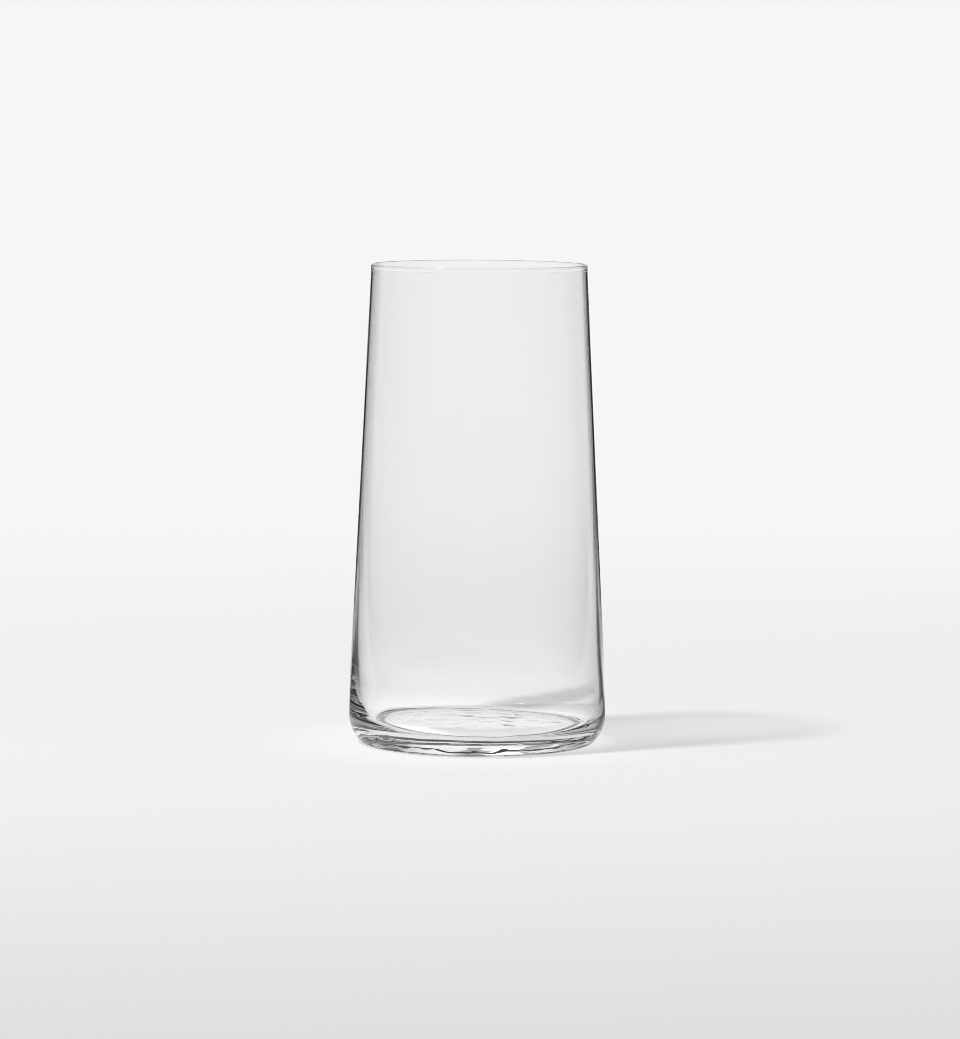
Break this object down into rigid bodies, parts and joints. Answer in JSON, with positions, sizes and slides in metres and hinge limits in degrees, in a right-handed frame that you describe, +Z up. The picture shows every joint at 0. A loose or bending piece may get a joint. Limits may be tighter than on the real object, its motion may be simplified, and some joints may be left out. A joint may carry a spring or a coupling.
{
  "type": "highball glass",
  "caption": "Tall clear drinking glass with a straight taper towards the rim, a rounded heel, a thick base and a fire-polished lip.",
  "frame": {"origin": "middle of the standing ring, on the surface that the glass stands on", "axes": "+Z up along the axis of the glass, from the base to the rim; +X and +Y are equal, because the glass is round"},
  "size_m": [0.0804, 0.0804, 0.15],
  "materials": {
    "clear_glass": "clear colourless glass, fire-polished"
  },
  "bodies": {
    "root": {"base": "clear_glass", "heel": "clear_glass", "wall": "clear_glass", "rim": "clear_glass"}
  },
  "joints": []
}
